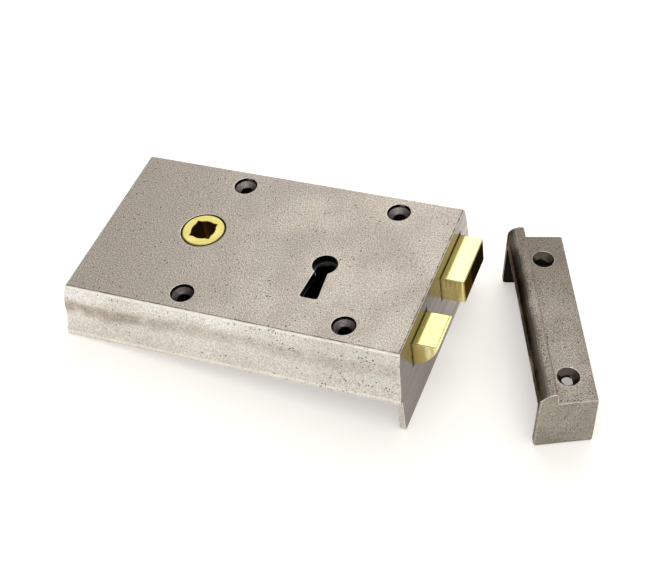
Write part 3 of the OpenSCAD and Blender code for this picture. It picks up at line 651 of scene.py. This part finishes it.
@dataclass(frozen=True)
class KeepFinish(Finish):
    """The keep's darker, smoother casting, with rubbed edges, painted shade on the nosing and in the hollow, and
    burnished holes.

    A level is a Span along up; a turn is a Span in how far the surface faces the mouth.
    """

    width: float
    half_length: float
    plate_far: Colour = tone(126, 117, 106)
    plate: Skin = Skin(tone(172, 164, 153), tone(140, 132, 122), tone(132, 110, 90), tone(46, 37, 31),
                       0.42, 0.7, 0.5, 1.1, 1.2)
    side: Skin = Skin(tone(168, 163, 152), tone(144, 139, 128), tone(124, 110, 95), tone(70, 62, 54),
                      0.42, 0.7, 0.3, 0.6, 1.0)
    # Painted shade on the nosing's mouthward side, lighter towards the near end
    nosing_shade_low: Colour = tone(64, 58, 52)
    nosing_shade_mid: Colour = tone(96, 89, 77)
    nosing_shade_low_near: Colour = tone(118, 112, 101)
    nosing_shade_mid_near: Colour = tone(130, 124, 112)
    # Painted shade: near black in the hollow, the holes and on the end walls' inner sides
    inside: Colour = tone(40, 37, 34)
    sink: Colour = tone(104, 98, 90)
    bright_edge: Colour = tone(250, 245, 236)
    grazing: Colour = tone(168, 161, 150)
    grain_depth: float = 0.00022
    faces_up: Span = (0.86, 0.97)
    bore_level: Span = (-0.0034, -0.003)
    hollow_level: Span = (-0.0001, -0.0003)
    nosing_level: Span = (-0.0002, 0.0002)
    lip_level: Span = (-0.0046, -0.0042)
    mid_turn: Span = (0.3, 0.72)
    low_turn: Span = (0.7, 0.9)
    lip_turn: Span = (0.9, 0.97)
    end_wall: float = 0.0014
    end_in: float = 0.0024
    side_in: float = 0.0018

    def material(self) -> Material:
        """Returns the keep's material, with each surface found by where it lies and faces."""
        graph, at = self.graph, self.at
        pitted = graph.either(graph.within(at["Y"], 0.008, 0.004, 0.005),
                              graph.within(at["Y"], 0.004 - self.half_length, 0.005, 0.004))
        grain = CastGrain().place(self, Grain=1000.0, Pitting=graph.blend(pitted, 0.25, 0.9))
        mottle = Mottle().place(self, Clouds=52.0, Stains=44.0)
        wear = EdgeWear().place(self, Width=0.0007, Least=0.012, Most=0.05)
        up = graph.band(self.facing["Z"], *self.faces_up)
        nearness = graph.band(at["Y"], self.half_length, -self.half_length * 0.4)
        top = self.plate.lay(graph, grain, mottle, graph.mix(nearness, self.plate_far, self.plate.clean))
        skin = self.side.lay(graph, grain, mottle).under(graph, up, top)
        skin = self.nosing(skin, mottle)
        # Painted shade in the hollow, the holes and on the end walls' inner sides
        hidden = graph.either(self.hollow_shade_mask(up), self.wall_shade_mask())
        skin = skin.under(graph, hidden, Blended(self.inside, 0.6))
        bored = graph.both(hidden, graph.band(at["Z"], *self.bore_level))
        skin = skin.under(graph, bored, Blended(self.sink, 0.22))
        edge = graph.both(wear["Worn"], graph.opposite(hidden), 0.85)
        skin = skin.under(graph, edge, Blended(self.bright_edge, 0.3))
        self.shader.inputs["Specular Tint"].default_value = self.grazing
        return self.join(skin, self.grain_depth, wear["Normal"])

    def wall_shade_mask(self) -> NodeSocket:
        """Finds the inner sides of the end walls, which are seen below the nosing and get painted shade."""
        graph = self.graph
        return graph.both(graph.band(graph.math("ABSOLUTE", self.facing["Y"]), 0.8, 0.95),
                          graph.within(self.at["Y"], 0.0, self.half_length - self.end_wall, 0.0003))

    def nosing(self, skin: Blended, mottle: Parts) -> Blended:
        """Paints shade on the nosing's round side, unevenly, where it turns towards the mouth, and on the thin lip
        below it.

        Args:
            skin: What the keep has so far.
            mottle: The placed Mottle group.

        Returns:
            The skin with the nosing on it.
        """
        graph, at = self.graph, self.at
        uneven = graph.both(graph.math("SUBTRACT", mottle["Cloud"], 0.5), 0.3)
        mouthwards = graph.math("SUBTRACT", uneven, self.facing["X"])
        high = graph.band(at["Z"], *self.nosing_level)
        near = graph.band(at["Y"], self.half_length * 0.3, -self.half_length * 0.5)
        for turn, far_tone, near_tone in ((self.mid_turn, self.nosing_shade_mid, self.nosing_shade_mid_near),
                                          (self.low_turn, self.nosing_shade_low, self.nosing_shade_low_near)):
            skin = skin.under(graph, graph.both(high, graph.band(mouthwards, *turn)),
                              Blended(graph.mix(near, far_tone, near_tone), 0.36))
        # Painted shade on the thin lip below the nosing
        lip = graph.both(graph.band(mouthwards, *self.lip_turn), graph.band(at["Z"], *self.lip_level))
        return skin.under(graph, lip, Blended(self.nosing_shade_low, 0.4))

    def hollow_shade_mask(self, up: NodeSocket) -> NodeSocket:
        """Finds the hollow and the holes, which lie well inside the outer planes and get painted shade."""
        graph, at, half = self.graph, self.at, self.width / 2
        inside = graph.both(graph.within(at["Y"], 0.0, self.half_length - self.end_in, 0.0004),
                            graph.within(at["X"], half, half - self.side_in, 0.0004))
        return graph.both(inside, graph.opposite(up), graph.band(at["Z"], *self.hollow_level))


@dataclass(frozen=True)
class BrassFinish(Finish):
    """Polished brass with its reflections painted in: pale on top where it faces the sky, deep on the sides,
    darker near the forend, and dark on the end and inside the case.
    """

    # Painted reflection: the pale top colour for the sky, and the deeper flank colour below
    bright: Colour = tone(241, 233, 176)
    deep: Colour = tone(220, 192, 118)
    flank: Colour = tone(250, 230, 156)
    # Painted reflection: the darker olive colour of the top next to the forend
    root: Colour = tone(206, 192, 112)
    root_shade_from: Span = (0.001, 0.0042)
    end_dark_reflection: Colour = tone(50, 42, 22)
    # Painted shade: near black on the bolts where they run inside the case
    dark: Colour = tone(16, 13, 8)
    grazing: Colour = (1.0, 1.0, 1.0, 1.0)
    streak: Colour = tone(204, 176, 104)
    streaked: float = 0.6
    streak_way: Triple = (1.0, 1.0, 0.2)
    # Painted reflection: the dead bolt's end face goes dark, near black beyond the border, for the shadowed floor
    # it mirrors
    end_reflection_share: float = 0.0
    end_near_reflection: Colour = tone(128, 116, 66)
    end_border: Span = (0.0169, 0.0181)
    # Painted shade: the darker colour inside an arc round the latch's root
    root_arc: Colour = tone(228, 204, 118)
    root_arc_shade: float = 0.0
    root_reach: float = 0.0056
    root_level: float = -0.0165
    root_height: float = 0.0095
    gloss: float = 0.12
    flank_gloss: float = 0.36
    scratch_gloss: float = 0.12
    wave_depth: float = 0.00003
    # Painted shade: the darker brown of the bore's walls
    bore_shade: Colour = tone(158, 128, 90)
    bore_middle: Vector | None = None
    bore_radius: float = 0.0069

    def material(self) -> Material:
        """Returns the brass's material, coloured by where it lies and faces."""
        graph, at = self.graph, self.at
        polish = HandPolish().place(self)
        wear = EdgeWear().place(self, Width=0.0003, Least=0.02, Most=0.3)
        # Painted reflection: upward faces take the pale sky colour, the sides a deeper one
        upper = graph.band(self.facing["Z"], 0.3, 0.9)
        colour = graph.mix(upper, self.flank, self.bright)
        # Painted reflection: the top is darker and greener near the forend, which it mirrors
        root_shade = graph.both(upper, graph.band(at["X"], *self.root_shade_from, 1.0, 0.0))
        colour = graph.mix(root_shade, colour, self.root)
        colour = graph.mix(graph.both(polish["Tarnish"], 0.35), colour, self.deep)
        colour = graph.mix(graph.both(polish["Scratch"], 0.25), colour, self.deep)
        drawn = graph.vector("MULTIPLY", self.place, self.streak_way)
        streak = graph.band(graph.noise(drawn, 520.0, 3.0, 0.6), 0.38, 0.62, 0.0, self.streaked)
        colour = graph.mix(graph.both(streak, graph.opposite(upper)), colour, self.streak)
        # Painted reflection: the dead bolt's dark end face
        at_end = graph.band(self.facing["X"], *FACES, 0.0, self.end_reflection_share)
        end = graph.mix(graph.band(at["Y"], *self.end_border), self.end_near_reflection, self.end_dark_reflection)
        colour = graph.mix(at_end, colour, end)
        colour = graph.mix(self.root_arc_shade_mask(), colour, self.root_arc)
        self.shader.inputs["Specular Tint"].default_value = self.grazing
        rough = graph.band(polish["Scratch"], 0.0, 1.0, self.gloss, self.gloss + self.scratch_gloss)
        skin = Blended(colour, graph.blend(upper, self.flank_gloss, rough), polish["Wave"])
        if self.bore_middle is not None:
            skin = skin.under(graph, self.bore_mask(), Blended(self.bore_shade, 0.35))
        else:
            # Painted shade: behind the forend's plane the brass goes near black
            skin = skin.under(graph, graph.band(at["X"], -0.0003, 0.0, 1.0, 0.0), Blended(self.dark, 0.5))
        return self.join(skin, self.wave_depth, wear["Normal"])

    def root_arc_shade_mask(self) -> NodeSocket:
        """Finds the darker part of the near flank, within an arc round the bolt's root, for painted shade.

        Returns:
            How far painted shade darkens the surface there.
        """
        graph, at = self.graph, self.at
        near = graph.band(self.facing["Y"], -0.95, -0.7, self.root_arc_shade, 0.0)
        out = graph.math("DIVIDE", at["X"], self.root_reach)
        rise = graph.math("DIVIDE", graph.math("SUBTRACT", at["Z"], self.root_level), self.root_height)
        away = graph.length(graph.joined({"X": out, "Y": rise}))
        return graph.both(near, graph.band(away, 0.9, 1.05, 1.0, 0.0))

    def bore_mask(self) -> NodeSocket:
        """Finds the walls of a hole that runs upwards through the piece.

        Returns:
            1 on those walls.
        """
        graph = self.graph
        offset = graph.vector("SUBTRACT", self.place, self.bore_middle)
        distance = graph.length(graph.vector("MULTIPLY", offset, (1.0, 1.0, 0.0)))
        wall = graph.math("LESS_THAN", graph.math("ABSOLUTE", self.facing["Z"]), 0.5)
        return graph.both(wall, graph.math("LESS_THAN", distance, self.bore_radius))


class SteelKind(Enum):
    """The kinds of steel that the works are made of, by the name of their material."""

    STRIP = "strip_steel"
    TURNED = "turned_steel"
    SPRING = "spring_steel"


@dataclass(frozen=True)
class SteelFinish(Finish):
    """Worked steel: brushed strip, turned screws or spring wire."""

    clean: Colour
    streak: Colour
    roughness: float
    lines: float = 1800.0
    rust: Colour = tone(104, 92, 78)
    cloud_gloss: float = 0.12
    line_depth: float = 0.00001

    def material(self) -> Material:
        """Returns the steel's material, with brushed lines that run across the lock."""
        graph = self.graph
        brushed = Brushing().place(self, Lines=self.lines)
        mottle = Mottle().place(self, Clouds=120.0, Stains=80.0)
        wear = EdgeWear().place(self, Width=0.00025, Least=0.02, Most=0.3)
        colour = graph.mix(brushed["Streak"], self.clean, self.streak)
        colour = graph.mix(graph.both(mottle["Stain"], 0.3), colour, self.rust)
        rough = graph.band(mottle["Cloud"], 0.0, 1.0, self.roughness, self.roughness + self.cloud_gloss)
        return self.join(Blended(colour, rough, brushed["Height"]), self.line_depth, wear["Normal"])


@dataclass(frozen=True)
class Coil:
    """A coil spring of round wire, wound at one pitch, in the place of the imported one."""

    axes: Axes
    node: str
    joint: str
    body: str
    wire: float = 0.0006
    turns: int = 8
    steps: int = 24
    sides: int = 10

    def ring(self, low: Vector, high: Vector, step: int) -> list[Vector]:
        """Returns the corners of the wire's section at one step.

        Args:
            low: The coil's lowest corner in the lock's axes.
            high: Its highest corner.
            step: How many steps along the wire the section lies.

        Returns:
            The corners in the shared frame.
        """
        radius = (high.y - low.y) / 2 - self.wire
        start, end = low.x + self.wire, high.x - self.wire
        turn = 2 * pi * step / self.steps
        out = Vector((0.0, cos(turn), sin(turn)))
        middle = (low + high) / 2 + radius * out
        middle.x = start + (end - start) * step / (self.turns * self.steps)
        lean = atan2((end - start) / self.turns, 2 * pi * radius)
        ahead = Vector((cos(lean), sin(lean) * sin(turn), -sin(lean) * cos(turn)))
        rounds = [2 * pi * side / self.sides for side in range(self.sides)]
        return [self.axes.point(middle + self.wire * (cos(way) * out + sin(way) * ahead)) for way in rounds]

    def faces(self) -> list[tuple[int, ...]]:
        """Returns the wire's faces by the numbers of their corners: two caps, then the rings' sides."""
        sides, last = self.sides, self.turns * self.steps * self.sides
        faces = [tuple(range(sides)), tuple(reversed(range(last, last + sides)))]
        for first in range(0, last, sides):
            for side in range(sides):
                here, other = first + side, first + (side + 1) % sides
                faces.append((here, here + sides, other + sides, other))
        return faces

    def wind(self, material: Material) -> None:
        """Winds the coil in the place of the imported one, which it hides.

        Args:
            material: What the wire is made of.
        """
        low, high = self.axes.extent(self.node)
        rings = [self.ring(low, high, step) for step in range(self.turns * self.steps + 1)]
        mesh = bpy.data.meshes.new(self.node + "_coil")
        mesh.from_pydata([corner for ring in rings for corner in ring], [], self.faces())
        mesh.polygons.foreach_set("use_smooth", [True] * len(mesh.polygons))
        mesh.materials.append(material)
        coil = bpy.data.objects.new(self.node + "_coil", mesh)
        bpy.context.scene.collection.objects.link(coil)
        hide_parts(self.node)
        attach(coil, self.body)
        anchor = self.axes.point(Vector((low.x, (low.y + high.y) / 2, (low.z + high.z) / 2)))
        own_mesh(coil)
        log.info("%s: %s", coil.name, material.name)


def dress(nodes: tuple[str, ...], material: Material) -> None:
    """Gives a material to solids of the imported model.

    Args:
        nodes: The solids' names.
        material: What they are made of.
    """
    for name in nodes:
        solid = frame["nodes"][name]
        solid.data.materials.clear()
        solid.data.materials.append(material)
        log.info("%s: %s", name, material.name)


@dataclass(frozen=True)
class SoftBox:
    """A square lamp that hangs round the object and faces it."""

    name: str
    towards: Triple
    distance: float
    size: float
    power: float

    def hang(self) -> None:
        """Hangs the lamp."""
        light = bpy.data.lights.new(self.name, "AREA")
        light.shape, light.size, light.energy = "SQUARE", self.size, self.power
        hung = bpy.data.objects.new(self.name, light)
        way = Vector(self.towards).normalized()
        hung.matrix_world = Matrix.Translation(way * self.distance) @ aimed(-way)
        bpy.context.scene.collection.objects.link(hung)
        log.info("%s: %.1f W", self.name, self.power)


def aimed(way: Vector) -> Matrix:
    """Returns the turn that points an object's minus Z along a direction, with its Y upwards."""
    return way.to_track_quat("-Z", "Y").to_matrix().to_4x4()


@dataclass(frozen=True)
class Studio:
    """The plain floor, the soft lamps, the white surroundings and the camera."""

    floor_size: float = 12.0
    floor_white: Colour = (0.97, 0.93, 0.885, 1.0)
    floor_lift: float = 0.36
    world_strength: float = 0.66
    world_white: Colour = (1.0, 0.983, 0.955, 1.0)
    dim_way: Triple = (-0.93, 0.3, 0.2)
    eye: Triple = (0.14110, -0.40233, 0.49232)
    looks: Triple = (-0.23473, 0.62353, -0.74573)
    lens: float = 79.3
    sensor: float = 36.0
    lamps: tuple[SoftBox, ...] = (SoftBox("soft_box_back", (-0.207, 0.636, 0.743), 1.5, 1.35, 7.5),
                                  SoftBox("soft_box_top", (0.1, -0.25, 1.0), 1.6, 1.0, 5.0))

    def floor(self) -> None:
        """Lays a white floor that keeps the soft shadow and is bright enough to show as white."""
        half = self.floor_size / 2
        corners = [(-half, -half, 0), (half, -half, 0), (half, half, 0), (-half, half, 0)]
        mesh = bpy.data.meshes.new("studio_floor")
        mesh.from_pydata(corners, [], [(0, 1, 2, 3)])
        plane = bpy.data.objects.new("studio_floor", mesh)
        bpy.context.scene.collection.objects.link(plane)
        made = bpy.data.materials.new("studio_white")
        made.use_nodes = True
        graph = Graph(made.node_tree)
        made.node_tree.nodes.remove(made.node_tree.nodes["Principled BSDF"])
        diffuse = graph.node("BsdfDiffuse", {"Color": self.floor_white})
        glow = graph.node("Emission", {"Strength": graph.both(self.shown(graph), self.floor_lift)})
        joined = graph.node("AddShader", {0: diffuse.outputs[0], 1: glow.outputs[0]})
        graph.feed(made.node_tree.nodes["Material Output"].inputs["Surface"], joined.outputs[0])
        mesh.materials.append(made)

    def shown(self, graph: Graph) -> NodeSocket:
        """Returns 1 for a ray that shows the floor: straight to the eye, mirrored or through glass."""
        path = graph.node("LightPath").outputs
        return graph.either(path["Is Camera Ray"], path["Is Glossy Ray"], path["Is Transmission Ray"])

    def world(self) -> None:
        """Surrounds the object with soft white that is dimmer to the left and at the zenith."""
        made = bpy.data.worlds.new("studio_world")
        made.use_nodes = True
        bpy.context.scene.world = made
        graph = Graph(made.node_tree)
        shine = made.node_tree.nodes["Background"]
        direction = graph.node("TexCoord").outputs["Generated"]
        level = graph.both(graph.band(graph.parts(direction)["Z"], 0.2, 0.95, 1.0, 0.8),
                           graph.band(graph.dot(direction, Vector(self.dim_way)), 0.1, 0.95, 1.0, 0.55))
        graph.feed(shine.inputs["Strength"], graph.both(level, self.world_strength))
        shine.inputs["Color"].default_value = self.world_white

    def camera(self) -> None:
        """Sets the camera where the photo was taken from."""
        data = bpy.data.cameras.new("camera")
        data.lens, data.sensor_width, data.clip_start = self.lens, self.sensor, 0.01
        eye = bpy.data.objects.new("camera", data)
        eye.matrix_world = Matrix.Translation(Vector(self.eye)) @ aimed(Vector(self.looks))
        bpy.context.scene.collection.objects.link(eye)
        bpy.context.scene.camera = eye

    def build(self) -> None:
        """Sets up the whole studio."""
        bpy.context.scene.view_settings.view_transform = "Standard"
        self.camera()
        self.floor()
        self.world()
        for lamp in self.lamps:
            lamp.hang()


def mount_places() -> dict[str, Vector]:
    """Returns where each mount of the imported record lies."""
    return {mount["name"]: Vector(mount["pos_m"]) for mount in frame["record"]["mounts"]}


@dataclass
class Lock:
    """The rim lock: its casting, bolts, follower and the works behind them."""

    spindle_back: float = 0.107
    spindle_up: float = 0.00305
    sink_radius: float = 0.00525
    half_width: float = 0.04335
    length: float = 0.152
    # Widths of the rims of painted shade round the bolts' mouths
    near_rim: float = 0.0008
    latch_rim: float = 0.0013
    top_rim: float = 0.0015
    axes: Axes = field(init=False)
    hole_middle: Vector = field(init=False)
    hole_spread: Vector = field(init=False)

    def __post_init__(self) -> None:
        """Reads the lock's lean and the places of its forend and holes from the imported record."""
        joints = {joint["name"]: joint for joint in frame["joints"]}
        mounts = mount_places()
        along = Vector(joints["latch_slide"]["axis"])
        across = Vector((0.0, 1.0, 0.0))
        origin = mounts["spindle"] + along * self.spindle_back - across * self.spindle_up
        self.axes = Axes(origin, along, across, along.cross(across))
        holes = [mounts[f"fixing_hole_{n}"] - origin for n in range(1, 5)]
        places = zip(*((hole.dot(along), hole.dot(across)) for hole in holes))
        ends = [(min(place), max(place)) for place in places]
        self.hole_middle = Vector([(low + high) / 2 for low, high in ends])
        self.hole_spread = Vector([(high - low) / 2 for low, high in ends])

    def build(self) -> None:
        """Dresses every solid of the lock."""
        self.casting()
        self.brass()
        self.works()

    def mouth(self, name: str, rim: float) -> Pair:
        """Returns the middle and half sizes of a bolt's mouth with its rim of painted shade, in the lock's axes.
        """
        low, high = self.axes.extent(name)
        return (low + high) / 2, (high - low) / 2 + Vector((0.0, rim, self.top_rim))

    def casting(self) -> None:
        """Dresses the case."""
        mouths = (self.mouth("latch_head", self.latch_rim), self.mouth("dead_bolt_head", self.near_rim))
        case = CaseFinish(self.axes, "cast_case", self.hole_middle, self.hole_spread, self.sink_radius,
                          self.half_width, self.length, mouths)
        dress(("case",), case.material())

    def brass(self) -> None:
        """Dresses the bolts' heads, their rivets and the follower."""
        axes = self.axes
        spindle = Vector((-self.spindle_back, self.spindle_up, 0.0))
        finishes = {
            ("latch_head",): BrassFinish(axes, "latch_brass", bright=tone(239, 230, 158),
                                         flank=tone(255, 250, 190), root_arc_shade=0.8),
            ("dead_bolt_head",): BrassFinish(axes, "dead_bolt_brass", flank=tone(255, 242, 168),
                                             end_reflection_share=0.9, grazing=tone(130, 116, 74)),
            ("latch_rivets", "dead_bolt_rivets"): BrassFinish(axes, "rivet_brass", gloss=0.25),
            ("follower",): BrassFinish(axes, "follower_brass", bright=tone(255, 254, 216),
                                       deep=tone(252, 236, 172), gloss=0.32, bore_middle=spindle)}
        for nodes, finish in finishes.items():
            dress(nodes, finish.material())

    def works(self) -> None:
        """Dresses the steel pieces behind the face."""
        axes = self.axes
        strip = SteelFinish(axes, SteelKind.STRIP.value, tone(150, 150, 150), tone(118, 117, 116), 0.32)
        dress(("latch_tail", "dead_bolt_tail", "latch_guide", "back_plate", "follower_washer",
               "keyhole_ward_front", "keyhole_ward_rear"), strip.material())
        turned = SteelFinish(axes, SteelKind.TURNED.value, tone(166, 164, 160), tone(132, 130, 128), 0.24,
                             3000.0)
        dress(("back_plate_screws", "latch_guide_screws", "latch_spring_post", "dead_bolt_stump",
               "detent_spring_peg"), turned.material())
        wire = SteelFinish(axes, SteelKind.SPRING.value, tone(120, 122, 128), tone(88, 88, 94), 0.28,
                           4000.0)
        spring = wire.material()
        dress(("detent_spring",), spring)
        Coil(axes, "latch_spring", "latch_slide", "case").wind(spring)


@dataclass
class Keep:
    """The box keep that takes the bolts on the door frame."""

    plate_level: float = 0.0266
    width: float = 0.025
    half_length: float = 0.0455
    hole_in: float = 0.014
    axes: Axes = field(init=False)

    def __post_init__(self) -> None:
        """Reads how the keep is turned from its two screw holes."""
        mounts = mount_places()
        near, far = mounts["keep_hole_1"], mounts["keep_hole_2"]
        across = (far - near).normalized()
        up = Vector((0.0, 0.0, 1.0))
        along = across.cross(up)
        middle = (near + far) / 2 - along * self.hole_in
        self.axes = Axes(Vector((middle.x, middle.y, self.plate_level)), along, across, up)

    def build(self) -> None:
        """Dresses the keep."""
        dress(("keep",), KeepFinish(self.axes, "cast_keep", self.width, self.half_length).material())


def main() -> None:
    """Builds the studio, then dresses the lock and its keep."""
    logging.basicConfig(level=logging.INFO, format="%(name)s %(message)s")
    Studio().build()
    Lock().build()
    Keep().build()


if __name__ == "__main__":
    main()
